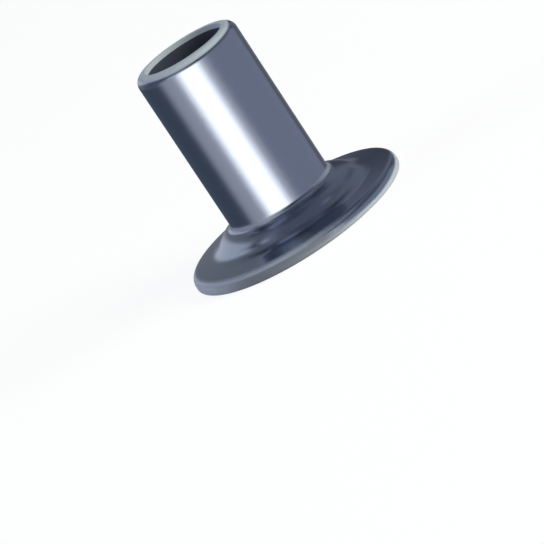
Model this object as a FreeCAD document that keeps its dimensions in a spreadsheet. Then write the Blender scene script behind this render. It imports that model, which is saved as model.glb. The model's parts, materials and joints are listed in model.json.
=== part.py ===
# Tubular rivet, drawn from one piece of steel strip: a straight bored shank that flares into a wide
# round head with a rounded shoulder, a shallow hollow and a thin flat brim.
# Frame: +Z along the axis towards the open end, the origin in the middle of the plane the head stands on.
# All lengths in millimetres, all slopes in degrees.
import FreeCAD, Part
import math
import os

import Sketcher

NODE = "tubular_rivet"

# Driving dimensions: alias, value, what it measures.
SIZES = [
    ("overall_length", 7.5, "head face to open end"),
    ("shank_diameter", 4.0, "outside of the straight shank"),
    ("bore_diameter", 3.0, "hole that runs right through"),
    ("head_diameter", 8.35, "outside of the brim"),
    ("flange_wall", 0.5, "metal thickness of the flared head"),
    ("seat_width", 0.4, "flat ring under the brim that the head stands on"),
    ("brim_slope", 8.0, "fall of the brim towards its edge"),
    ("shoulder_slope", 42.0, "steepest slope of the shoulder, where it turns into the hollow"),
    ("shoulder_diameter", 5.5, "diameter at that steepest slope"),
    ("shoulder_radius", 1.5, "rounding of the shoulder in section"),
    ("hollow_radius", 1.15, "rounding of the hollow between shoulder and brim"),
    ("root_fillet", 0.3, "inside corner between shank and shoulder"),
    ("funnel_radius", 0.3, "rounded lip of the bore on the head side"),
    ("end_land", 0.1, "flat ring left on the open end between its bevel and its rounded outer edge"),
    ("roll_over", 0.3, "rounded upper edge of the brim, as its shearing leaves it"),
    ("rim_rounding", 0.12, "lower edge of the brim"),
    ("mouth_depth", 0.17, "depth of the bevel inside the open end"),
    ("mouth_angle", 16.0, "angle of that bevel from the axis"),
]
END_ROUNDING = (
    "Sizes.shank_diameter / 2 - Sizes.bore_diameter / 2"
    " - Sizes.mouth_depth * tan(Sizes.mouth_angle * 1 deg) - Sizes.end_land"
)
TOLERANCE = 1e-4
FULL_TURN = 360.0


def make_sheet(doc):
    """Puts the driving dimensions into the sheet of sizes, one a row."""
    sheet = doc.addObject("Spreadsheet::Sheet", "Sizes")
    for row, (alias, value, meaning) in enumerate(SIZES, start=1):
        sheet.set(f"A{row}", alias)
        sheet.set(f"B{row}", str(value))
        sheet.set(f"C{row}", meaning)
        sheet.setAlias(f"B{row}", alias)
    doc.recompute()
    return sheet


def section_points(sheet):
    """Corners and centres of the half section as (radius, height), worked out from the sheet."""
    bore = sheet.bore_diameter / 2
    shank = sheet.shank_diameter / 2
    head = sheet.head_diameter / 2
    top = sheet.overall_length
    brim = math.radians(sheet.brim_slope)
    steep = math.radians(sheet.shoulder_slope)
    wall = sheet.flange_wall
    brim_normal = FreeCAD.Vector(math.sin(brim), math.cos(brim), 0)
    steep_normal = FreeCAD.Vector(math.sin(steep), math.cos(steep), 0)

    seat_end = head - sheet.seat_width
    turn_end = sheet.shoulder_diameter / 2
    brim_start = turn_end + sheet.hollow_radius * (math.sin(steep) - math.sin(brim))
    brim_height = (seat_end - brim_start) * math.tan(brim) + wall / math.cos(brim)
    brim_corner = FreeCAD.Vector(brim_start, brim_height, 0)
    hollow_centre = brim_corner + brim_normal * sheet.hollow_radius
    shoulder_centre = hollow_centre - steep_normal * (sheet.hollow_radius + sheet.shoulder_radius)

    def on_shoulder(radius, x):
        """Point of a circle about the shoulder's centre, on its upper side, at distance x from the axis."""
        rise = math.sqrt(radius**2 - (x - shoulder_centre.x) ** 2)
        return FreeCAD.Vector(x, shoulder_centre.y + rise, 0)

    mouth_width = sheet.mouth_depth * math.tan(math.radians(sheet.mouth_angle))
    return {
        "mouth_bottom": FreeCAD.Vector(bore, top - sheet.mouth_depth, 0),
        "mouth_top": FreeCAD.Vector(bore + mouth_width, top, 0),
        "end_edge": FreeCAD.Vector(shank, top, 0),
        "root": on_shoulder(sheet.shoulder_radius, shank),
        "turn": hollow_centre - steep_normal * sheet.hollow_radius,
        "brim_start": brim_corner,
        "rim_top": FreeCAD.Vector(head, brim_height - (head - brim_start) * math.tan(brim), 0),
        "rim_bottom": FreeCAD.Vector(head, 0, 0),
        "seat_end": FreeCAD.Vector(seat_end, 0, 0),
        "under_brim": hollow_centre - brim_normal * (sheet.hollow_radius + wall),
        "under_turn": hollow_centre - steep_normal * (sheet.hollow_radius + wall),
        "funnel": on_shoulder(sheet.shoulder_radius - wall, bore),
        "hollow_centre": hollow_centre,
        "shoulder_centre": shoulder_centre,
    }


def line(points, start, end):
    """Straight piece of the section between two named points."""
    return Part.LineSegment(points[start], points[end])


def arc(points, centre, first, second):
    """Round piece of the section, turning anticlockwise from the first named point to the second."""
    middle = points[centre]
    out_first = points[first] - middle
    out_second = points[second] - middle
    circle = Part.Circle(middle, FreeCAD.Vector(0, 0, 1), out_first.Length)
    return Part.ArcOfCircle(
        circle, math.atan2(out_first.y, out_first.x), math.atan2(out_second.y, out_second.x)
    )


def make_section(body, sheet):
    """Half section of the rivet, fully constrained, with every size bound to the sheet."""
    plane = next(f for f in body.Origin.OriginFeatures if f.Role == "XZ_Plane")
    sketch = body.newObject("Sketcher::SketchObject", "RivetSection")
    sketch.AttachmentSupport = [(plane, "")]
    sketch.MapMode = "FlatFace"
    points = section_points(sheet)

    start, end, middle = 1, 2, 3
    origin, x_axis = (-1, 1), -1
    mouth = sketch.addGeometry(line(points, "mouth_bottom", "mouth_top"), False)
    end_face = sketch.addGeometry(line(points, "mouth_top", "end_edge"), False)
    shank = sketch.addGeometry(line(points, "end_edge", "root"), False)
    shoulder = sketch.addGeometry(arc(points, "shoulder_centre", "turn", "root"), False)
    hollow = sketch.addGeometry(arc(points, "hollow_centre", "turn", "brim_start"), False)
    brim = sketch.addGeometry(line(points, "brim_start", "rim_top"), False)
    rim = sketch.addGeometry(line(points, "rim_top", "rim_bottom"), False)
    seat = sketch.addGeometry(line(points, "rim_bottom", "seat_end"), False)
    under_brim = sketch.addGeometry(line(points, "seat_end", "under_brim"), False)
    under_hollow = sketch.addGeometry(arc(points, "hollow_centre", "under_turn", "under_brim"), False)
    under_shoulder = sketch.addGeometry(arc(points, "shoulder_centre", "under_turn", "funnel"), False)
    bore = sketch.addGeometry(line(points, "funnel", "mouth_bottom"), False)
    centres = sketch.addGeometry(line(points, "shoulder_centre", "hollow_centre"), True)

    corners = [
        (mouth, end, end_face, start),
        (end_face, end, shank, start),
        (shank, end, shoulder, end),
        (brim, end, rim, start),
        (rim, end, seat, start),
        (seat, end, under_brim, start),
        (under_shoulder, end, bore, start),
        (bore, end, mouth, start),
        (centres, start, shoulder, middle),
        (centres, end, hollow, middle),
        (under_hollow, middle, hollow, middle),
        (under_shoulder, middle, shoulder, middle),
    ]
    smooth_joins = [
        (shoulder, start, hollow, start),
        (hollow, end, brim, start),
        (under_brim, end, under_hollow, end),
        (under_hollow, start, under_shoulder, start),
    ]
    for ends in corners:
        sketch.addConstraint(Sketcher.Constraint("Coincident", *ends))
    for ends in smooth_joins:
        sketch.addConstraint(Sketcher.Constraint("Tangent", *ends))
    for upright in (shank, rim, bore):
        sketch.addConstraint(Sketcher.Constraint("Vertical", upright))
    for level in (end_face, seat):
        sketch.addConstraint(Sketcher.Constraint("Horizontal", level))
    sketch.addConstraint(Sketcher.Constraint("PointOnObject", seat, end, x_axis))
    sketch.addConstraint(Sketcher.Constraint("Parallel", brim, under_brim))

    def size(name, expression, kind, *where):
        """Adds one measured constraint and binds it to the sheet."""
        index = sketch.addConstraint(Sketcher.Constraint(kind, *where))
        sketch.renameConstraint(index, name)
        sketch.setExpression(f"Constraints.{name}", expression)

    turn = points["turn"]
    size("bore", "Sizes.bore_diameter / 2 * 1 mm", "DistanceX", *origin, bore, end, points["funnel"].x)
    size("shank", "Sizes.shank_diameter / 2 * 1 mm", "DistanceX", *origin, shank, end, points["root"].x)
    size("head", "Sizes.head_diameter / 2 * 1 mm", "DistanceX", *origin, rim, end, points["rim_top"].x)
    size("length", "Sizes.overall_length * 1 mm", "DistanceY", *origin, end_face, end, points["end_edge"].y)
    size("seat", "Sizes.seat_width * 1 mm", "DistanceX", seat, end, seat, start, sheet.seat_width)
    size("wall", "Sizes.flange_wall * 1 mm", "Distance", under_brim, start, brim, sheet.flange_wall)
    size("shoulder_at", "Sizes.shoulder_diameter / 2 * 1 mm", "DistanceX", *origin, hollow, start, turn.x)
    size("shoulder_radius", "Sizes.shoulder_radius * 1 mm", "Radius", shoulder, sheet.shoulder_radius)
    size("hollow_radius", "Sizes.hollow_radius * 1 mm", "Radius", hollow, sheet.hollow_radius)
    size("mouth_depth", "Sizes.mouth_depth * 1 mm", "DistanceY", mouth, start, mouth, end, sheet.mouth_depth)
    lean = math.radians(90 - sheet.mouth_angle)
    size("mouth_lean", "(90 - Sizes.mouth_angle) * 1 deg", "Angle", mouth, lean)
    fall = math.radians(-sheet.brim_slope)
    size("brim_fall", "-Sizes.brim_slope * 1 deg", "Angle", brim, fall)
    steep = math.radians(90 - sheet.shoulder_slope)
    size("shoulder_steep", "(90 - Sizes.shoulder_slope) * 1 deg", "Angle", centres, steep)
    body.Document.recompute()
    return sketch


def circle_edges(shape, places):
    """Names of the round edges of a shape at the given (radius, height) places."""
    names = []
    for number, edge in enumerate(shape.Edges, start=1):
        if not isinstance(edge.Curve, Part.Circle):
            continue
        radius, height = edge.Curve.Radius, edge.Curve.Center.z
        for place in places:
            if abs(radius - place.x) < TOLERANCE and abs(height - place.y) < TOLERANCE:
                names.append(f"Edge{number}")
    return names


def round_over(body, name, radius, base, places):
    """Rounds the edges at the given places with a radius worked out from the sheet."""
    edges = circle_edges(base.Shape, places)
    if len(edges) != len(places):
        raise ValueError(f"{name}: {len(edges)} of {len(places)} edges found")
    fillet = body.newObject("PartDesign::Fillet", name)
    fillet.Base = (base, edges)
    fillet.setExpression("Radius", f"({radius}) * 1 mm")
    body.Document.recompute()
    return fillet


def make_rivet(doc, sheet):
    """The rivet: its half section turned about the axis, then its edges rounded."""
    body = doc.addObject("PartDesign::Body", "Rivet")
    body.Label = NODE
    section = make_section(body, sheet)
    turned = body.newObject("PartDesign::Revolution", "TurnedRivet")
    turned.Profile = section
    turned.ReferenceAxis = (section, ["V_Axis"])
    turned.Angle = FULL_TURN
    section.Visibility = False
    doc.recompute()

    points = section_points(sheet)
    latest = round_over(body, "RootFillet", "Sizes.root_fillet", turned, [points["root"]])
    latest = round_over(body, "FunnelLip", "Sizes.funnel_radius", latest, [points["funnel"]])
    latest = round_over(body, "EndRounding", END_ROUNDING, latest, [points["end_edge"]])
    latest = round_over(body, "RollOver", "Sizes.roll_over", latest, [points["rim_top"]])
    latest = round_over(body, "RimRounding", "Sizes.rim_rounding", latest, [points["rim_bottom"]])
    body.Tip = latest
    body.Placement = FreeCAD.Placement()
    doc.recompute()
    return body


def check(doc, bodies):
    """Stops if an object failed or a finished shape isn't one valid solid."""
    for item in doc.Objects:
        if "Invalid" in item.State or "Error" in item.State:
            raise ValueError(f"{item.Label} failed: {item.State}")
    for body in bodies:
        shape = body.Shape
        if shape.isNull() or not shape.isValid() or len(shape.Solids) != 1:
            raise ValueError(f"{body.Label} isn't one valid solid")


def main():
    doc = FreeCAD.newDocument("TubularRivet")
    sheet = make_sheet(doc)
    rivet = make_rivet(doc, sheet)
    check(doc, [rivet])
    os.makedirs("parts", exist_ok=True)
    rivet.Shape.exportStep(os.path.join("parts", f"{rivet.Label}.step"))
    print(f"{rivet.Label}: volume {rivet.Shape.Volume:.3f} mm3, size {rivet.Shape.BoundBox}")


main()
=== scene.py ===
"""Looks of a drawn, zinc plated tubular rivet that stands on its head in a small light tent."""

import json
import logging
import math
from dataclasses import dataclass, field
from enum import Enum

import bmesh
import bpy
from mathutils import Matrix, Vector

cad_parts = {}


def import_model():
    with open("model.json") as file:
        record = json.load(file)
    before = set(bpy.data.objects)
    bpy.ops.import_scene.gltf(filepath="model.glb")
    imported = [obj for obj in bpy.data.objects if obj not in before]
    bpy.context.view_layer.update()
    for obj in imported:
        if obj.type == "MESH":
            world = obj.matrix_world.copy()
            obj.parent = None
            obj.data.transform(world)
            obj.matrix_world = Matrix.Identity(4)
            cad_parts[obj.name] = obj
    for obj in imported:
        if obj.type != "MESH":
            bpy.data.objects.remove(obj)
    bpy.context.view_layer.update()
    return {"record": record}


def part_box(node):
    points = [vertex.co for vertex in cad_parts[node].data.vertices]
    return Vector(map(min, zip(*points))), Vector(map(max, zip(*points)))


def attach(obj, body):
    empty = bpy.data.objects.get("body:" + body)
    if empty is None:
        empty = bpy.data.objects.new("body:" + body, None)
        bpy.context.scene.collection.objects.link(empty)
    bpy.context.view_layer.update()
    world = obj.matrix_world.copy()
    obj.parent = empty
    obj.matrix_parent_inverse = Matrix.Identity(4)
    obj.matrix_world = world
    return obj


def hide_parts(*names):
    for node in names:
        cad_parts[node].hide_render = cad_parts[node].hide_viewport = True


log = logging.getLogger("tubular_rivet")

MM = 0.001
NODE = "tubular_rivet"
BODY = "root"
PHOTO_SIDE_PX = 544
SENSOR_MM = 36.0

# Socket numbers of the Mix node, whose sockets share their names.
FACTOR = 0
VALUE_A, VALUE_B, VALUE_OUT = 2, 3, 0
COLOUR_A, COLOUR_B, COLOUR_OUT = 6, 7, 2

# Nearly all of a noise field lies between these two values.
NOISE_LOW, NOISE_HIGH = 0.3, 0.7

Tree = bpy.types.NodeTree
Socket = bpy.types.NodeSocket
Colour = tuple[float, float, float, float]

WHITE: Colour = (1.0, 1.0, 1.0, 1.0)


def linear(code: str) -> Colour:
    """Turns an sRGB hex colour into linear light.

    Args:
        code: six hex digits, with or without a leading hash.

    Returns:
        Linear red, green and blue with an alpha of 1.
    """
    digits = code.lstrip("#")
    values = [int(digits[i : i + 2], 16) / 255 for i in (0, 2, 4)]
    light = [v / 12.92 if v <= 0.04045 else ((v + 0.055) / 1.055) ** 2.4 for v in values]
    return (*light, 1.0)


def add(
    tree: Tree, kind: str, inputs: dict[str | int, object] | None = None, **settings: object
) -> bpy.types.Node:
    """Adds a node, sets its properties and fills or links its inputs.

    Args:
        tree: the shader or geometry tree that gets the node.
        kind: the node's type name.
        inputs: socket name or number to a value, or to the output socket that feeds it.
        settings: the node's own properties.

    Returns:
        The new node.
    """
    node = tree.nodes.new(kind)
    for name, value in settings.items():
        setattr(node, name, value)
    for name, value in (inputs or {}).items():
        if isinstance(value, Socket):
            tree.links.new(value, node.inputs[name])
        else:
            node.inputs[name].default_value = value
    return node


@dataclass
class RivetSection:
    """Half section of the rivet as (distance from the axis, height), all in millimetres.

    Attributes:
        bore_radius: the hole that runs right through.
        shank_radius: outside of the straight shank.
        head_radius: outside of the brim.
        length: head face to open end.
        flange_wall: thickness of the metal in the head.
        seat_width: width of the ring on which it stands, out to the edge of the brim.
        brim_slope: fall of the brim towards its edge.
        shoulder_slope: steepest fall between the shoulder and the hollow.
        shoulder_at: distance from the axis of that steepest place.
        shoulder_radius: outer rounding of the shoulder.
        hollow_radius: rounding between the shoulder and the brim.
        root_fillet: rounding between the shank and the shoulder.
        funnel_radius: rounding of the bore's mouth in the head.
        end_land: width of the flat ring on the open end.
        rim_rounding: rounding of the brim's lower edge.
        roll_over: rounding of the brim's upper edge.
        mouth_depth: depth of the bevel in the open end.
        mouth_angle: angle of that bevel to the axis.
        arc_step: widest turn between two points of an arc.
        line_step: usual distance between two points of a straight stretch.
        support: distance of the close point at each end of a straight stretch.
        rounding_steps: fewest pieces in a small rounding.
        shoulder_steps: fewest pieces in the shoulder and in the hollow.
        roll_over_steps: fewest pieces in the brim's upper edge.
        outline: the points drawn so far.
    """

    bore_radius: float
    shank_radius: float
    head_radius: float
    length: float
    flange_wall: float = 0.5
    seat_width: float = 0.4
    brim_slope: float = math.radians(8.0)
    shoulder_slope: float = math.radians(42.0)
    shoulder_at: float = 2.75
    shoulder_radius: float = 1.5
    hollow_radius: float = 1.15
    root_fillet: float = 0.3
    funnel_radius: float = 0.3
    end_land: float = 0.1
    rim_rounding: float = 0.12
    roll_over: float = 0.3
    mouth_depth: float = 0.17
    mouth_angle: float = math.radians(16.0)
    arc_step: float = math.radians(4.0)
    line_step: float = 0.22
    support: float = 0.012
    rounding_steps: int = 10
    shoulder_steps: int = 12
    roll_over_steps: int = 16
    outline: list[Vector] = field(default_factory=list)

    def line_to(self, end: Vector) -> None:
        """Adds a straight stretch with a close point near each end, so that its shading stays flat.

        Args:
            end: where the stretch ends.
        """
        start = self.outline[-1]
        span = end - start
        edge = min(self.support, span.length / 4) / span.length
        steps = max(1, round(span.length / self.line_step))
        shares = [edge] + [i / steps for i in range(1, steps)] + [1 - edge, 1.0]
        self.outline += [start + span * share for share in shares]

    def arc_to(self, centre: Vector, end: Vector, steps_least: int) -> None:
        """Adds a round stretch from the last point to the end, the short way about the centre.

        Args:
            centre: middle of the arc.
            end: where the arc ends.
            steps_least: the fewest pieces it is divided into.
        """
        out = self.outline[-1] - centre
        turn = out.angle_signed(end - centre)
        steps = max(steps_least, round(abs(turn) / self.arc_step))
        for i in range(1, steps + 1):
            spun = Matrix.Rotation(-turn * i / steps, 2) @ out
            self.outline.append(centre + spun)

    def tangent_circle(self, beside: float, radius: float, middle: Vector, around: float) -> Vector:
        """Centre of a rounding that touches an upright line and a round surface from outside.

        Args:
            beside: distance of the line from the axis.
            radius: radius of the rounding.
            middle: centre of the round surface.
            around: radius of the round surface.

        Returns:
            The rounding's centre, outside the line and above the round surface's centre.
        """
        x = beside + radius
        return Vector((x, middle.y + math.sqrt((around + radius) ** 2 - (x - middle.x) ** 2)))

    def draw(self) -> list[Vector]:
        """Draws the outline once round, from the bottom of the mouth's bevel.

        Returns:
            The outline's points; the last one meets the first.
        """
        down = Vector((math.sin(self.brim_slope), math.cos(self.brim_slope)))
        steep = Vector((math.sin(self.shoulder_slope), math.cos(self.shoulder_slope)))
        seat_end = self.head_radius - self.seat_width
        brim_from = self.shoulder_at + self.hollow_radius * (steep.x - down.x)
        brim_height = (seat_end - brim_from) * math.tan(self.brim_slope) + self.flange_wall / down.y
        brim_start = Vector((brim_from, brim_height))
        hollow = brim_start + down * self.hollow_radius
        shoulder = hollow - steep * (self.hollow_radius + self.shoulder_radius)
        turn = hollow - steep * self.hollow_radius
        under = self.hollow_radius + self.flange_wall

        round_shoulder = self.shoulder_radius
        root = self.tangent_circle(self.shank_radius, self.root_fillet, shoulder, round_shoulder)
        inside = round_shoulder - self.flange_wall
        lip = self.tangent_circle(self.bore_radius, self.funnel_radius, shoulder, inside)
        rim_x = self.head_radius - self.roll_over
        rim_fall = (rim_x - brim_from) * math.tan(self.brim_slope) + self.roll_over / down.y
        rim_top = Vector((rim_x, brim_height - rim_fall))
        rim_low = Vector((self.head_radius - self.rim_rounding, self.rim_rounding))
        mouth = self.bore_radius + self.mouth_depth * math.tan(self.mouth_angle)
        end_rounding = self.shank_radius - mouth - self.end_land
        end = Vector((self.shank_radius - end_rounding, self.length - end_rounding))
        small, large = self.rounding_steps, self.shoulder_steps

        self.outline = [Vector((self.bore_radius, self.length - self.mouth_depth))]
        self.line_to(Vector((mouth, self.length)))
        self.line_to(Vector((end.x, self.length)))
        self.arc_to(end, Vector((self.shank_radius, end.y)), small)
        self.line_to(Vector((self.shank_radius, root.y)))
        self.arc_to(root, shoulder + (root - shoulder).normalized() * round_shoulder, small)
        self.arc_to(shoulder, turn, large)
        self.arc_to(hollow, brim_start, large)
        self.line_to(rim_top + down * self.roll_over)
        self.arc_to(rim_top, Vector((self.head_radius, rim_top.y)), self.roll_over_steps)
        self.line_to(Vector((self.head_radius, rim_low.y)))
        self.arc_to(rim_low, Vector((rim_low.x, 0.0)), small)
        self.line_to(Vector((seat_end, 0.0)))
        self.line_to(hollow - down * under)
        self.arc_to(hollow, hollow - steep * under, small)
        self.arc_to(shoulder, shoulder + (lip - shoulder).normalized() * inside, small)
        self.arc_to(lip, Vector((self.bore_radius, lip.y)), small)
        self.line_to(self.outline[0].copy())
        self.outline.pop()
        return self.outline


class Measure(Enum):
    """Measures of the rivet's surface, in millimetres, that the edges of a patch follow."""

    HEIGHT = "height above the head's face"
    RADIUS = "distance from the axis"
    ACROSS = "distance to the camera's right of the axis"
    END_TILT = "height, raised towards the camera"
    BRIM_TILT = "height, raised towards the right"
    BRIM_FRONT = "height, raised towards the right and the camera"


@dataclass(frozen=True)
class Fade:
    """A smooth step along one measure.

    Attributes:
        along: the measure.
        clear: where the step is 0.
        full: where the step is 1; it may lie on either side of the clear end.
    """

    along: Measure
    clear: float
    full: float


@dataclass(frozen=True)
class Patch:
    """A soft-edged part of the surface, where all of its steps overlap.

    Attributes:
        fades: the steps that bound it.
        share: how full it gets.
    """

    fades: tuple[Fade, ...]
    share: float = 1.0


@dataclass(frozen=True)
class ZincPlate:
    """Bright zinc plate on drawn steel, with matt cut edges and a dull, thinly plated bore.

    Attributes:
        length: height of the open end, in millimetres.
        bore_radius: radius of the bore.
        shank_radius: outside of the shank.
        head_radius: outside of the brim.
        colour: the bright plate, with the blue cast of its passivation.
        cut_colour: the plate on the cut edges.
        painted_edge_shade: darker grey painted as shade on the brim's cut edge, where it is not
            pale.
        painted_bore_shade: dark grey inside the bore, painted shade of the hole over its thin
            plate.
        roughness: roughness of the bright plate.
        cut_roughness: roughness of the cut edges.
        bore_roughness: roughness inside the bore.
        cut_metal: how far the cut edges still shine as metal; the rest is a matt skin.
        bore_metal: how far the inside of the bore does.
        end_tilt: change of END_TILT for each millimetre away from the camera.
        brim_tilt: change of BRIM_TILT for each millimetre to the right.
        brim_front_tilt: further change of BRIM_FRONT for each millimetre away from the camera.
        draw_lines: drawing lines in a millimetre.
        draw_stretch: how much shorter than long a drawing line is.
        draw_detail: octaves of the drawing lines.
        draw_depth: depth of the drawing lines along the shank, in millimetres.
        tumble_dents: soft dents from barrel tumbling in a millimetre.
        tumble_detail: octaves of the dents.
        tumble_depth: depth of the dents, in millimetres.
        tumble_wear: least and most roughness that the dents add.
        grains: grains of the cut edges in a millimetre.
        grain_detail: octaves of the grain.
        grain_depth: depth of the grain on the cut edges, in millimetres.
        grain_shade: least and most brightness of the grain.
    """

    length: float
    bore_radius: float
    shank_radius: float
    head_radius: float
    colour: str = "#A2ABBC"
    cut_colour: str = "#9FA8AE"
    painted_edge_shade: str = "#666C75"
    painted_bore_shade: str = "#3C404E"
    roughness: float = 0.2
    cut_roughness: float = 0.6
    bore_roughness: float = 0.6
    cut_metal: float = 0.1
    bore_metal: float = 0.15
    end_tilt: float = -0.075
    brim_tilt: float = 0.022
    brim_front_tilt: float = -0.08
    draw_lines: float = 11.0
    draw_stretch: float = 0.05
    draw_detail: float = 3.0
    draw_depth: float = 0.0008
    tumble_dents: float = 5.0
    tumble_detail: float = 2.0
    tumble_depth: float = 0.0006
    tumble_wear: tuple[float, float] = (-0.02, 0.03)
    grains: float = 34.0
    grain_detail: float = 2.0
    grain_depth: float = 0.003
    grain_shade: tuple[float, float] = (0.93, 1.05)

    def end_patches(self) -> tuple[Patch, ...]:
        """Lays out the cut metal of the open end: its flat ring, deeper in front as a painted
        highlight, and the bevel.

        Returns:
            The patches, which stop short of the bore's wall.
        """
        top, bore = self.length, self.bore_radius
        off_wall = Fade(Measure.RADIUS, bore + 0.001, bore + 0.006)
        beside_bore = Fade(Measure.RADIUS, bore + 0.07, bore + 0.06)
        return (
            Patch((off_wall, Fade(Measure.HEIGHT, top - 0.07, top - 0.02))),
            # Reaching deeper down the rounding towards the camera: painted highlight in the pale
            # cut colour.
            Patch((off_wall, Fade(Measure.END_TILT, top - 0.06, top + 0.02))),
            Patch((off_wall, beside_bore, Fade(Measure.HEIGHT, top - 0.2, top - 0.19))),
        )

    def brim_patches(self) -> tuple[Patch, ...]:
        """Lays out the sheared edge of the brim, which is less high in front and on the right.

        Returns:
            The patches, all on the outermost part of the brim.
        """
        edge = Fade(Measure.RADIUS, self.head_radius - 0.1, self.head_radius - 0.05)
        leftwards = Fade(Measure.ACROSS, 1.6, 0.4)
        return (
            Patch((edge, Fade(Measure.BRIM_TILT, 0.28, 0.18))),
            Patch((edge, Fade(Measure.BRIM_FRONT, 0.53, 0.43))),
            Patch((edge, leftwards, Fade(Measure.BRIM_TILT, 0.36, 0.3))),
        )

    def edge_and_root_highlight_patches(self) -> tuple[Patch, ...]:
        """Lays out where the bright plate gives way to something like a cut edge, in part a painted
        highlight.

        Returns:
            The patches: the left of the brim's upper edge, and two arcs of the root, a pale line
                painted as a highlight.
        """
        upper_edge = (
            Fade(Measure.RADIUS, self.head_radius - 0.36, self.head_radius - 0.08),
            Fade(Measure.ACROSS, 2.2, -1.0),
            Fade(Measure.HEIGHT, 0.29, 0.35),
        )
        # Two arcs of the root: a pale, matt line painted as the highlight where the shank meets the
        # shoulder.
        root = (
            Fade(Measure.HEIGHT, 1.4, 1.31),
            Fade(Measure.HEIGHT, 1.2, 1.27),
            Fade(Measure.RADIUS, self.shank_radius + 0.16, self.shank_radius + 0.1),
        )
        return (
            Patch(upper_edge, 0.45),
            Patch((*root, Fade(Measure.ACROSS, 0.2, -0.8)), 0.5),
            Patch((*root, Fade(Measure.ACROSS, 0.7, 2.6)), 0.5),
        )

    def pale_patches(self) -> tuple[Patch, ...]:
        """Lays out where cut metal is pale; elsewhere on the brim's edge it gets a darker grey,
        painted shade.

        Returns:
            The patches: the brim's right and far left, and all above the brim.
        """
        return (
            Patch((Fade(Measure.ACROSS, -1.5, 2.9), Fade(Measure.BRIM_FRONT, 0.56, 0.47))),
            Patch((Fade(Measure.ACROSS, -2.2, -4.1),), 0.8),
            Patch((Fade(Measure.HEIGHT, 0.33, 0.39),)),
        )

    def bore_patches(self) -> tuple[Patch, ...]:
        """Lays out the dull wall of the bore, which is painted dark grey as shade.

        Returns:
            One patch, from above the lip in the head up to the mouth.
        """
        wall = Fade(Measure.RADIUS, self.bore_radius + 0.004, self.bore_radius + 0.001)
        return (Patch((wall, Fade(Measure.HEIGHT, 1.0, 1.1))),)

    def drawn_patches(self) -> tuple[Patch, ...]:
        """Lays out the shank, which alone shows drawing lines.

        Returns:
            One patch.
        """
        return (Patch((Fade(Measure.RADIUS, self.shank_radius + 0.2, self.shank_radius),)),)

    def measures(self, tree: Tree, lengths: Socket) -> dict[Measure, Socket]:
        """Adds the measures that the patches follow.

        Args:
            tree: the material's tree.
            lengths: the place on the piece in millimetres.

        Returns:
            The socket of each measure.
        """
        split = add(tree, "ShaderNodeSeparateXYZ", {0: lengths}).outputs
        flat = add(tree, "ShaderNodeCombineXYZ", {"X": split["X"], "Y": split["Y"]}).outputs[0]
        radius = add(tree, "ShaderNodeVectorMath", {0: flat}, operation="LENGTH").outputs["Value"]
        known = {Measure.HEIGHT: split["Z"], Measure.RADIUS: radius, Measure.ACROSS: split["X"]}
        for tilted, base, direction, tilt in (
            (Measure.END_TILT, Measure.HEIGHT, "Y", self.end_tilt),
            (Measure.BRIM_TILT, Measure.HEIGHT, "X", self.brim_tilt),
            (Measure.BRIM_FRONT, Measure.BRIM_TILT, "Y", self.brim_front_tilt),
        ):
            given = {0: split[direction], 1: tilt, 2: known[base]}
            known[tilted] = add(tree, "ShaderNodeMath", given, operation="MULTIPLY_ADD").outputs[0]
        return known

    def cover(
        self, tree: Tree, measures: dict[Measure, Socket], patches: tuple[Patch, ...]
    ) -> Socket:
        """Adds the mask of some patches, in which the fullest patch counts.

        Args:
            tree: the material's tree.
            measures: the socket of each measure.
            patches: the patches that the mask covers.

        Returns:
            A socket from 0 to 1.
        """
        shown: Socket | float = 0.0
        for patch in patches:
            inside: Socket | float = patch.share
            for fade in patch.fades:
                rises = fade.full > fade.clear
                given = {
                    "Value": measures[fade.along],
                    "From Min": min(fade.clear, fade.full),
                    "From Max": max(fade.clear, fade.full),
                    "To Min": 0.0 if rises else 1.0,
                    "To Max": 1.0 if rises else 0.0,
                }
                step = add(tree, "ShaderNodeMapRange", given, interpolation_type="SMOOTHSTEP")
                product = {0: inside, 1: step.outputs[0]}
                inside = add(tree, "ShaderNodeMath", product, operation="MULTIPLY").outputs[0]
            fuller = {0: shown, 1: inside}
            shown = add(tree, "ShaderNodeMath", fuller, operation="MAXIMUM").outputs[0]
        return shown

    def marks(
        self, tree: Tree, lengths: Socket, number: float, detail: float, upwards: float = 1.0
    ) -> Socket:
        """Adds a field of fine marks.

        Args:
            tree: the material's tree.
            lengths: the place on the piece in millimetres.
            number: marks in a millimetre.
            detail: octaves of the noise.
            upwards: factor on the height; a small one draws the marks out along the axis.

        Returns:
            A socket from 0 to 1.
        """
        stretch = {0: lengths, 1: (1.0, 1.0, upwards)}
        spread = add(tree, "ShaderNodeVectorMath", stretch, operation="MULTIPLY").outputs[0]
        given = {"Vector": spread, "Scale": number, "Detail": detail}
        return add(tree, "ShaderNodeTexNoise", given).outputs[0]

    def material(self) -> bpy.types.Material:
        """Builds the plate's material.

        Returns:
            The finished material.
        """
        # Zinc plated in a barrel over smooth drawn steel: a softly blurred mirror with a cool blue
        # cast. Where the strip was cut, the plate is thin and dull, so the open end and the brim's
        # edge look like pale, fine-grained grey paint. In the bore hardly any plate grows, which
        # leaves it dull; its dark grey is painted shade of the hole. Painted light lies on the cut
        # metal too: a pale highlight down the camera's side of the open end's rounding, darker grey
        # shade on the brim's edge, most at its front and left, and a pale highlight line in two
        # arcs at the root.
        made = bpy.data.materials.new("zinc_plate_on_drawn_steel")
        made.use_nodes = True
        tree = made.node_tree
        shader = tree.nodes["Principled BSDF"]
        place = add(tree, "ShaderNodeTexCoord").outputs["Object"]
        scaled = {0: place, "Scale": 1 / MM}
        lengths = add(tree, "ShaderNodeVectorMath", scaled, operation="SCALE").outputs[0]
        measures = self.measures(tree, lengths)
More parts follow.
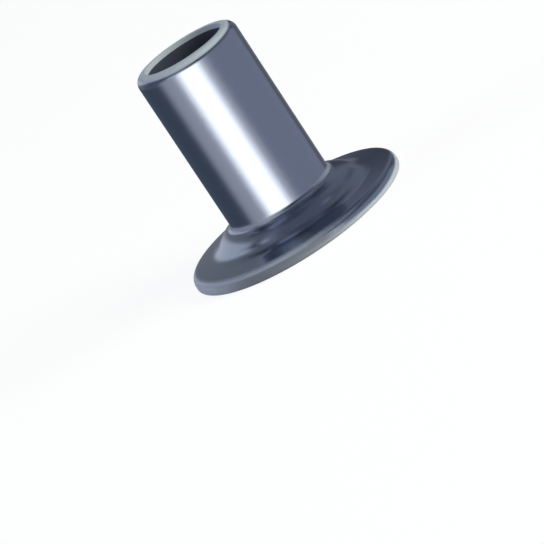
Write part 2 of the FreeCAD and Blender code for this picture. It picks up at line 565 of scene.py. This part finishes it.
        # Matt metal: the cut edges, and the pale root line that is a painted highlight.
        cut_and_highlight_patches = self.end_patches() + self.brim_patches() + self.edge_and_root_highlight_patches()
        cut = self.cover(tree, measures, cut_and_highlight_patches)
        pale = self.cover(tree, measures, self.pale_patches())
        bore = self.cover(tree, measures, self.bore_patches())
        shank = self.cover(tree, measures, self.drawn_patches())
        # The real lines and grains are a few thousandths of a millimetre wide. These are about a
        # tenth and a thirtieth of a millimetre, because finer ones don't show in the picture.
        drawn = self.marks(tree, lengths, self.draw_lines, self.draw_detail, self.draw_stretch)
        tumbled = self.marks(tree, lengths, self.tumble_dents, self.tumble_detail)
        grain = self.marks(tree, lengths, self.grains, self.grain_detail)

        # Cut metal is pale above the brim and at the brim edge's right and far left; between, it is
        # painted darker grey as shade.
        tones = {
            FACTOR: pale,
            COLOUR_A: linear(self.painted_edge_shade),
            COLOUR_B: linear(self.cut_colour),
        }
        cut_colour = add(tree, "ShaderNodeMix", tones, data_type="RGBA").outputs[COLOUR_OUT]
        # The bore's dark grey is painted shade of the hole; its roughness and weak shine are the
        # thin plate.
        painted_bore_shade = linear(self.painted_bore_shade)
        colour: Socket | Colour = linear(self.colour)
        roughness: Socket | float = self.roughness
        metal: Socket | float = 1.0
        for mask, own_colour, own_roughness, own_metal in (
            (cut, cut_colour, self.cut_roughness, self.cut_metal),
            (bore, painted_bore_shade, self.bore_roughness, self.bore_metal),
        ):
            tones = {FACTOR: mask, COLOUR_A: colour, COLOUR_B: own_colour}
            colour = add(tree, "ShaderNodeMix", tones, data_type="RGBA").outputs[COLOUR_OUT]
            gloss = {FACTOR: mask, VALUE_A: roughness, VALUE_B: own_roughness}
            roughness = add(tree, "ShaderNodeMix", gloss).outputs[VALUE_OUT]
            shine = {FACTOR: mask, VALUE_A: metal, VALUE_B: own_metal}
            metal = add(tree, "ShaderNodeMix", shine).outputs[VALUE_OUT]

        relief: Socket | float = 0.0
        for marks, mask, depth in (
            (drawn, shank, self.draw_depth),
            (tumbled, 1.0, self.tumble_depth),
            (grain, cut, self.grain_depth),
        ):
            kept = add(tree, "ShaderNodeMath", {0: marks, 1: mask}, operation="MULTIPLY").outputs[0]
            deeper = {0: kept, 1: depth, 2: relief}
            relief = add(tree, "ShaderNodeMath", deeper, operation="MULTIPLY_ADD").outputs[0]
        bump = add(tree, "ShaderNodeBump", {"Strength": 1.0, "Distance": MM, "Height": relief})

        graded = []
        for marks, (least, most) in ((grain, self.grain_shade), (tumbled, self.tumble_wear)):
            given = {"Value": marks, "From Min": NOISE_LOW, "From Max": NOISE_HIGH}
            given |= {"To Min": least, "To Max": most}
            graded.append(add(tree, "ShaderNodeMapRange", given).outputs[0])
        shade, wear = graded
        shaded = {0: colour, "Scale": shade}
        speckled = add(tree, "ShaderNodeVectorMath", shaded, operation="SCALE").outputs[0]
        tones = {FACTOR: cut, COLOUR_A: colour, COLOUR_B: speckled}
        colour = add(tree, "ShaderNodeMix", tones, data_type="RGBA").outputs[COLOUR_OUT]
        worn = add(tree, "ShaderNodeMath", {0: roughness, 1: wear}, operation="ADD")

        tree.links.new(colour, shader.inputs["Base Color"])
        tree.links.new(worn.outputs[0], shader.inputs["Roughness"])
        tree.links.new(metal, shader.inputs["Metallic"])
        tree.links.new(bump.outputs[0], shader.inputs["Normal"])
        return made


@dataclass
class Rivet:
    """The rivet, turned from its half section.

    Attributes:
        section: the half section in millimetres.
        finish: the plate on its surface.
        turn_steps: pieces once round the axis.
        weld: distance in metres within which the seam's points are joined.
    """

    section: RivetSection
    finish: ZincPlate
    turn_steps: int = 384
    weld: float = 1e-7

    def turning_tree(self) -> Tree:
        """Builds the node tree that turns an outline about the axis.

        Returns:
            A tree with the named inputs Outline, Turn Steps, Outline Points and Finish.
        """
        tree = bpy.data.node_groups.new("turned_about_axis", "GeometryNodeTree")
        face = tree.interface
        face.new_socket("Outline", in_out="INPUT", socket_type="NodeSocketGeometry")
        face.new_socket("Turn Steps", in_out="INPUT", socket_type="NodeSocketInt")
        face.new_socket("Outline Points", in_out="INPUT", socket_type="NodeSocketInt")
        face.new_socket("Finish", in_out="INPUT", socket_type="NodeSocketMaterial")
        face.new_socket("Rivet", in_out="OUTPUT", socket_type="NodeSocketGeometry")
        given = add(tree, "NodeGroupInput").outputs
        around = add(tree, "ShaderNodeMath", {0: given["Turn Steps"], 1: 1.0}, operation="ADD")
        along = add(tree, "ShaderNodeMath", {0: given["Outline Points"], 1: 1.0}, operation="ADD")
        size = {"Vertices X": around.outputs[0], "Vertices Y": along.outputs[0]}
        sheet = add(tree, "GeometryNodeMeshGrid", size)
        index = add(tree, "GeometryNodeInputIndex").outputs[0]
        by_column = {0: index, 1: along.outputs[0]}
        row = add(tree, "ShaderNodeMath", by_column, operation="MODULO").outputs[0]
        column = add(tree, "ShaderNodeMath", by_column, operation="DIVIDE").outputs[0]
        turn = add(tree, "ShaderNodeMath", {0: column}, operation="FLOOR").outputs[0]
        wrapped = {0: row, 1: given["Outline Points"]}
        closed = add(tree, "ShaderNodeMath", wrapped, operation="MODULO").outputs[0]
        part = {0: turn, 1: given["Turn Steps"]}
        share = add(tree, "ShaderNodeMath", part, operation="DIVIDE").outputs[0]
        angle = add(tree, "ShaderNodeMath", {0: share, 1: -math.tau}, operation="MULTIPLY")
        place = add(tree, "GeometryNodeInputPosition").outputs[0]
        drawn = add(
            tree,
            "GeometryNodeSampleIndex",
            {"Geometry": given["Outline"], "Value": place, "Index": closed},
            data_type="FLOAT_VECTOR",
            domain="POINT",
        )
        value = next(s for s in drawn.outputs if s.enabled)
        rotation = {"Vector": value, "Angle": angle.outputs[0]}
        spun = add(tree, "ShaderNodeVectorRotate", rotation, rotation_type="Z_AXIS")
        laid = {"Geometry": sheet.outputs["Mesh"], "Position": spun.outputs[0]}
        moved = add(tree, "GeometryNodeSetPosition", laid)
        seam = {"Geometry": moved.outputs[0], "Distance": self.weld}
        joined = add(tree, "GeometryNodeMergeByDistance", seam)
        smooth = add(tree, "GeometryNodeSetShadeSmooth", {"Geometry": joined.outputs[0]})
        real = add(tree, "GeometryNodeRealizeInstances", {"Geometry": smooth.outputs[0]})
        plated = {"Geometry": real.outputs[0], "Material": given["Finish"]}
        dressed = add(tree, "GeometryNodeSetMaterial", plated)
        add(tree, "NodeGroupOutput", {"Rivet": dressed.outputs[0]})
        return tree

    def build(self) -> bpy.types.Object:
        """Turns the section into the finished piece and puts it on the part.

        Returns:
            The rivet's object.
        """
        points = self.section.draw()
        outline = bpy.data.meshes.new("rivet_outline")
        outline.from_pydata([(p.x * MM, 0.0, p.y * MM) for p in points], [], [])
        holder = bpy.data.objects.new("rivet_outline", outline)
        bpy.context.scene.collection.objects.link(holder)
        tree = self.turning_tree()
        turner = holder.modifiers.new("turned", "NODES")
        turner.node_group = tree
        sockets = {s.name: s.identifier for s in tree.interface.items_tree if s.in_out == "INPUT"}
        turner[sockets["Turn Steps"]] = self.turn_steps
        turner[sockets["Outline Points"]] = len(points)
        turner[sockets["Finish"]] = self.finish.material()
        graph = bpy.context.evaluated_depsgraph_get()
        mesh = bpy.data.meshes.new_from_object(holder.evaluated_get(graph))
        bpy.data.objects.remove(holder)
        mesh.name = "rivet_shell"
        rivet = bpy.data.objects.new("rivet_shell", mesh)
        bpy.context.scene.collection.objects.link(rivet)
        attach(rivet, BODY)
        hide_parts(NODE)
        log.info("rivet_shell: %d points, %d faces", len(mesh.vertices), len(mesh.polygons))
        return rivet


@dataclass
class PhotoCamera:
    """A long lens that shows the brim and the open end where the photograph has them.

    Attributes:
        rim_height: height of the brim's middle, in millimetres.
        end_height: height of the open end, in millimetres.
        rim_px: where the middle of the brim shows, in pixels from the photograph's top left corner.
        end_px: where the middle of the open end shows.
        elevation: angle of the view on the brim's middle above the brim's plane.
        distance: from the brim's middle to the lens, in millimetres.
        focal_rounds: how often the focal length is corrected.
        nearest: closest distance that is drawn, in metres.
        farthest: longest distance that is drawn, in metres.
    """

    rim_height: float
    end_height: float
    rim_px: tuple[float, float] = (294.74, 219.53)
    end_px: tuple[float, float] = (182.42, 49.11)
    elevation: float = math.radians(15.11)
    distance: float = 111.0
    focal_rounds: int = 20
    nearest: float = 0.01
    farthest: float = 20.0

    def sight(self, pixel: tuple[float, float], focal: float) -> Vector:
        """Direction of a pixel in the camera's own axes.

        Args:
            pixel: the pixel, from the top left corner.
            focal: focal length in pixels.

        Returns:
            A unit vector.
        """
        half = PHOTO_SIDE_PX / 2
        return Vector((pixel[0] - half, half - pixel[1], -focal)).normalized()

    def axes(self, first: Vector, second: Vector) -> Matrix:
        """Axes that belong to two directions, to turn one such pair onto another.

        Args:
            first: unit vector that becomes the first axis.
            second: another direction; the second axis is square to both.

        Returns:
            The three axes as the columns of a matrix.
        """
        side = first.cross(second).normalized()
        return Matrix((first, side, first.cross(side))).transposed()

    def build(self) -> bpy.types.Object:
        """Makes the camera and gives it to the scene.

        Returns:
            The camera's object.
        """
        rim = Vector((0.0, 0.0, self.rim_height))
        end = Vector((0.0, 0.0, self.end_height))
        back = Vector((0.0, -math.cos(self.elevation), math.sin(self.elevation)))
        place = rim + back * self.distance
        to_rim, to_end = (rim - place).normalized(), (end - place).normalized()
        wide = to_rim.angle(to_end)
        focal = (Vector(self.end_px) - Vector(self.rim_px)).length / wide
        for _ in range(self.focal_rounds):
            focal *= self.sight(self.rim_px, focal).angle(self.sight(self.end_px, focal)) / wide
        seen = self.axes(self.sight(self.rim_px, focal), self.sight(self.end_px, focal))
        turn = self.axes(to_rim, to_end) @ seen.transposed()
        data = bpy.data.cameras.new("long_lens")
        data.sensor_width = SENSOR_MM
        data.lens = SENSOR_MM * focal / PHOTO_SIDE_PX
        data.clip_start = self.nearest
        data.clip_end = self.farthest
        camera = bpy.data.objects.new("long_lens", data)
        camera.matrix_world = Matrix.Translation(place * MM) @ turn.to_4x4()
        bpy.context.scene.collection.objects.link(camera)
        bpy.context.scene.camera = camera
        log.info("long_lens: %.0f mm lens at %.0f mm", data.lens, self.distance)
        return camera


class PanelShape(Enum):
    """Outline of a panel of the reflection tent."""

    SQUARE = "square"
    OVAL = "oval"


@dataclass(frozen=True)
class Panel:
    """A soft-edged area of the reflection tent, seen from the rivet.

    Attributes:
        azimuth: its middle, in degrees from the camera's side towards the camera's right.
        elevation: its middle, in degrees above the level.
        half_width: half its width in degrees of azimuth, up to the middle of its soft edge.
        half_height: half its height in degrees of elevation, up to the same.
        soft: width of its soft edge in degrees.
        colour: its colour.
        strength: factor on its colour's brightness.
        shape: square or oval.
        lean: degrees of azimuth by which it moves for each degree above its middle.
    """

    azimuth: float
    elevation: float
    half_width: float
    half_height: float
    soft: float
    colour: str
    strength: float = 1.0
    shape: PanelShape = PanelShape.SQUARE
    lean: float = 0.0


# In this order: later panels lie over earlier ones.
TENT_PANELS = (
    # Slate grey top and sides, the pale seam between them and a white patch in front.
    Panel(0, 84, 400, 24, 20, "#676C7A"),
    Panel(60, 30, 62, 34, 20, "#646A78"),
    Panel(-80, 30, 50, 34, 20, "#666E7B"),
    Panel(50, 60, 55, 4, 6, "#A3A8B5"),
    Panel(-60, 60, 46, 4, 7, "#F2F4FF", 1.1),
    Panel(-38, 22, 24, 8, 12, "#DCE1EC", 1.5),
    # Dark and grey patches high up, which the shoulder and the hollow mirror.
    Panel(-100, 53, 20, 4, 6, "#2C303B"),
    Panel(0, 42, 26, 11, 12, "#262A33"),
    Panel(-110, 68, 24, 6, 8, "#878E9B", 1.0, PanelShape.OVAL),
    Panel(180, 58, 32, 13, 12, "#363B49"),
    # Pale crescent on the left of the shoulder.
    Panel(-145, 25, 12, 27, 11, "#D6DAE4", 1.0, PanelShape.OVAL, 0.8),
    # Soft patches behind the rivet, which the front and the right of the head mirror.
    Panel(130, 20, 19, 12, 12, "#3A3F4B", 1.0, PanelShape.OVAL),
    Panel(152, 30, 12, 10, 12, "#7F8492", 1.0, PanelShape.OVAL),
    Panel(170, 10, 9, 12, 10, "#484D5A", 1.0, PanelShape.OVAL),
    Panel(174, 29, 5, 5, 6, "#9094A4", 1.0, PanelShape.OVAL),
    Panel(177, 22, 5, 8, 6, "#4F535F", 1.0, PanelShape.OVAL),
    # Low panels, which the shank mirrors: greys at the sides, pale in front with the white
    # stripe, and white below.
    Panel(-122, -28, 43, 23, 10, "#555E6C"),
    Panel(80, -12, 56, 38, 14, "#9EA2B0"),
    Panel(144, -20, 9, 30, 8, "#6C6F78"),
    Panel(-14, -24, 44, 47, 14, "#D4D4DA"),
    Panel(-62, -24, 17, 44, 26, "#C8C9CF"),
    Panel(-13, -24, 24, 46, 24, "#FFFAF2", 3.0),
    Panel(0, -80, 400, 30, 16, "#FFFFFF", 0.8),
)


def seen_white(tree: Tree) -> Socket:
    """Adds a value that is 1 for the rays by which the camera, metal and glass see, and else 0.

    Args:
        tree: a material's or the world's tree.

    Returns:
        The value's socket.
    """
    path = add(tree, "ShaderNodeLightPath").outputs
    direct = {0: path["Is Camera Ray"], 1: path["Is Glossy Ray"]}
    seen = add(tree, "ShaderNodeMath", direct, operation="MAXIMUM").outputs[0]
    through = {0: seen, 1: path["Is Transmission Ray"]}
    return add(tree, "ShaderNodeMath", through, operation="MAXIMUM").outputs[0]


@dataclass(frozen=True)
class WhitePaper:
    """Matt white paper for the floor.

    Attributes:
        colour: the paper's colour under light.
        glow_share: how much of what is seen of it is plain white; the rest keeps the shadow.
    """

    colour: str = "#FCFCFC"
    glow_share: float = 0.88

    def material(self) -> bpy.types.Material:
        """Builds the paper's material.

        Returns:
            The finished material.
        """
        # Pressed, uncoated paper: evenly matt, so it shows nothing but white and a faint shadow.
        made = bpy.data.materials.new("matt_white_paper")
        made.use_nodes = True
        tree = made.node_tree
        tree.nodes.clear()
        part = {0: seen_white(tree), 1: self.glow_share}
        share = add(tree, "ShaderNodeMath", part, operation="MULTIPLY").outputs[0]
        paper = add(tree, "ShaderNodeBsdfDiffuse", {"Color": linear(self.colour)}).outputs[0]
        glow = add(tree, "ShaderNodeEmission", {"Color": WHITE, "Strength": 1.0}).outputs[0]
        mixed = add(tree, "ShaderNodeMixShader", {0: share, 1: paper, 2: glow})
        add(tree, "ShaderNodeOutputMaterial", {"Surface": mixed.outputs[0]})
        return made


@dataclass(frozen=True)
class TentCloth:
    """Cloth of the reflection tent, with soft white, grey and dark panels.

    Attributes:
        wall: colour of the cloth between the panels.
        panels: the panels, from the lowest to the uppermost.
    """

    wall: str = "#7F848C"
    panels: tuple[Panel, ...] = TENT_PANELS

    def cover(self, tree: Tree, azimuth: Socket, elevation: Socket, panel: Panel) -> Socket:
        """Adds the mask of one panel.

        Args:
            tree: the cloth's tree.
            azimuth: direction from the rivet in degrees, from the camera's side to its right.
            elevation: direction from the rivet in degrees above the level.
            panel: the panel.

        Returns:
            A socket with 1 inside the panel and 0 outside.
        """
        from_middle = {0: elevation, 1: panel.elevation}
        rise = add(tree, "ShaderNodeMath", from_middle, operation="SUBTRACT").outputs[0]
        above = add(tree, "ShaderNodeMath", {0: rise}, operation="ABSOLUTE").outputs[0]
        leaning = {0: rise, 1: -panel.lean, 2: -panel.azimuth}
        turn = add(tree, "ShaderNodeMath", leaning, operation="MULTIPLY_ADD").outputs[0]
        aside = add(tree, "ShaderNodeMath", {0: azimuth, 1: turn}, operation="ADD").outputs[0]
        half_turn = {0: aside, 1: 180.0, 2: -180.0}
        aside = add(tree, "ShaderNodeMath", half_turn, operation="WRAP").outputs[0]
        aside = add(tree, "ShaderNodeMath", {0: aside}, operation="ABSOLUTE").outputs[0]
        edges = ((aside, panel.half_width, panel.soft), (above, panel.half_height, panel.soft))
        if panel.shape is PanelShape.OVAL:
            across = {0: aside, 1: panel.half_width}
            wide = add(tree, "ShaderNodeMath", across, operation="DIVIDE").outputs[0]
            upright = {0: above, 1: panel.half_height}
            tall = add(tree, "ShaderNodeMath", upright, operation="DIVIDE").outputs[0]
            pair = add(tree, "ShaderNodeCombineXYZ", {"X": wide, "Y": tall}).outputs[0]
            far = add(tree, "ShaderNodeVectorMath", {0: pair}, operation="LENGTH").outputs["Value"]
            edges = ((far, 1.0, panel.soft / panel.half_height),)
        inside: Socket | float = 1.0
        for distance, half, soft in edges:
            given = {
                "Value": distance,
                "From Min": half - soft / 2,
                "From Max": half + soft / 2,
                "To Min": 1.0,
                "To Max": 0.0,
            }
            fall = add(tree, "ShaderNodeMapRange", given, interpolation_type="SMOOTHSTEP")
            product = {0: inside, 1: fall.outputs[0]}
            inside = add(tree, "ShaderNodeMath", product, operation="MULTIPLY").outputs[0]
        return inside

    def material(self) -> bpy.types.Material:
        """Builds the cloth's material, which glows in each direction as its panels say.

        Returns:
            The finished material.
        """
        # Woven diffusion cloth lit from behind: even soft fields with no texture, so the metal
        # mirrors smooth bands.
        made = bpy.data.materials.new("white_and_grey_tent_cloth")
        made.use_nodes = True
        tree = made.node_tree
        tree.nodes.clear()
        place = add(tree, "ShaderNodeTexCoord").outputs["Object"]
        out = add(tree, "ShaderNodeVectorMath", {0: place}, operation="NORMALIZE").outputs[0]
        split = add(tree, "ShaderNodeSeparateXYZ", {0: out}).outputs
        mirrored = {0: split["Y"], 1: -1.0}
        ahead = add(tree, "ShaderNodeMath", mirrored, operation="MULTIPLY").outputs[0]
        level = {0: split["X"], 1: ahead}
        azimuth = add(tree, "ShaderNodeMath", level, operation="ARCTAN2").outputs[0]
        azimuth = add(tree, "ShaderNodeMath", {0: azimuth}, operation="DEGREES").outputs[0]
        elevation = add(tree, "ShaderNodeMath", {0: split["Z"]}, operation="ARCSINE").outputs[0]
        elevation = add(tree, "ShaderNodeMath", {0: elevation}, operation="DEGREES").outputs[0]
        colour: Socket | Colour = linear(self.wall)
        for panel in self.panels:
            inside = self.cover(tree, azimuth, elevation, panel)
            own = tuple(part * panel.strength for part in linear(panel.colour)[:3])
            tones = {FACTOR: inside, COLOUR_A: colour, COLOUR_B: (*own, 1.0)}
            colour = add(tree, "ShaderNodeMix", tones, data_type="RGBA").outputs[COLOUR_OUT]
        glow = add(tree, "ShaderNodeEmission", {"Color": colour, "Strength": 1.0})
        add(tree, "ShaderNodeOutputMaterial", {"Surface": glow.outputs[0]})
        return made


@dataclass(frozen=True)
class Lamp:
    """A soft square lamp that points at the rivet and doesn't show in reflections.

    Attributes:
        name: the lamp's name.
        place: where it hangs, in millimetres.
        side: side of its square in millimetres.
        power: its power in watts.
        colour: its colour.
    """

    name: str
    place: tuple[float, float, float]
    side: float
    power: float
    colour: str


LAMPS = (
    Lamp("right_lamp", (203, -118, 86), 160, 0.9, "#FFFDF6"),
    Lamp("left_lamp", (-232, 41, 86), 160, 0.45, "#E2DFFF"),
    Lamp("top_lamp", (0, 0, 300), 200, 0.36, "#ECFFFF"),
)


@dataclass
class Studio:
    """Floor, soft lamps, white surroundings and a tent that only reflections show.

    Attributes:
        paper: the floor's finish.
        cloth: the tent's finish.
        lamps: the lamps.
        aim_height: height on the rivet's axis at which the lamps point, in millimetres.
        tent_radius: radius of the tent, in millimetres.
        tent_columns: faces of the tent once round.
        tent_rows: faces of the tent from pole to pole.
        floor_side: side of the square floor, in millimetres.
    """

    paper: WhitePaper = WhitePaper()
    cloth: TentCloth = TentCloth()
    lamps: tuple[Lamp, ...] = LAMPS
    aim_height: float = 3.0
    tent_radius: float = 400.0
    tent_columns: int = 96
    tent_rows: int = 48
    floor_side: float = 900.0

    def sky(self) -> None:
        """Makes the surroundings white to the camera, metal and glass; they give no light."""
        world = bpy.data.worlds.new("white_room")
        world.use_nodes = True
        tree = world.node_tree
        tree.nodes.clear()
        shown = seen_white(tree)
        light = add(tree, "ShaderNodeBackground", {"Color": WHITE, "Strength": shown})
        add(tree, "ShaderNodeOutputWorld", {"Surface": light.outputs[0]})
        bpy.context.scene.world = world
        log.info("white_room: surroundings")

    def floor(self) -> bpy.types.Object:
        """Makes the floor, which shows as white and keeps a soft shadow.

        Returns:
            The floor's object.
        """
        half = self.floor_side / 2 * MM
        corners = [(-half, -half, 0), (half, -half, 0), (half, half, 0), (-half, half, 0)]
        mesh = bpy.data.meshes.new("floor")
        mesh.from_pydata(corners, [], [(0, 1, 2, 3)])
        mesh.materials.append(self.paper.material())
        floor = bpy.data.objects.new("floor", mesh)
        bpy.context.scene.collection.objects.link(floor)
        floor.visible_glossy = False
        log.info("floor: %.0f mm square", self.floor_side)
        return floor

    def tent(self) -> bpy.types.Object:
        """Makes the tent, a globe of soft panels about the rivet that only reflections show.

        Returns:
            The tent's object.
        """
        mesh = bpy.data.meshes.new("reflection_tent")
        globe = bmesh.new()
        bmesh.ops.create_uvsphere(
            globe,
            u_segments=self.tent_columns,
            v_segments=self.tent_rows,
            radius=self.tent_radius * MM,
        )
        globe.to_mesh(mesh)
        globe.free()
        mesh.materials.append(self.cloth.material())
        tent = bpy.data.objects.new("reflection_tent", mesh)
        bpy.context.scene.collection.objects.link(tent)
        for rays in ("camera", "diffuse", "shadow", "transmission", "volume_scatter"):
            setattr(tent, f"visible_{rays}", False)
        log.info("reflection_tent: %d panels", len(self.cloth.panels))
        return tent

    def hang(self, lamp: Lamp) -> bpy.types.Object:
        """Hangs one lamp.

        Args:
            lamp: the lamp.

        Returns:
            The lamp's object.
        """
        data = bpy.data.lights.new(lamp.name, "AREA")
        data.shape = "SQUARE"
        data.size = lamp.side * MM
        data.energy = lamp.power
        data.color = linear(lamp.colour)[:3]
        hung = bpy.data.objects.new(lamp.name, data)
        spot = Vector(lamp.place) * MM
        aim = (Vector((0, 0, self.aim_height * MM)) - spot).normalized()
        facing = aim.to_track_quat("-Z", "Y").to_matrix().to_4x4()
        hung.matrix_world = Matrix.Translation(spot) @ facing
        hung.visible_glossy = False
        bpy.context.scene.collection.objects.link(hung)
        log.info("%s: %.2f W", lamp.name, lamp.power)
        return hung

    def build(self) -> None:
        """Makes the surroundings, the floor, the tent and the lamps."""
        self.sky()
        self.floor()
        self.tent()
        for lamp in self.lamps:
            self.hang(lamp)


def main() -> None:
    """Builds the rivet, the camera and the studio."""
    logging.basicConfig(level=logging.INFO, format="%(name)s: %(message)s")
    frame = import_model()
    low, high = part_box(NODE)
    mounts = {m["name"]: m for m in frame["record"]["mounts"]}
    section = RivetSection(
        bore_radius=mounts["bore"]["dims"]["r_mm"],
        shank_radius=mounts["shank"]["dims"]["r_mm"],
        head_radius=(high.x - low.x) / 2 / MM,
        length=high.z / MM,
    )
    plate = ZincPlate(
        length=section.length,
        bore_radius=section.bore_radius,
        shank_radius=section.shank_radius,
        head_radius=section.head_radius,
    )
    Rivet(section, plate).build()
    PhotoCamera(rim_height=section.flange_wall / 2, end_height=section.length).build()
    Studio().build()
    bpy.context.scene.view_settings.view_transform = "Standard"


if __name__ == "__main__":
    main()
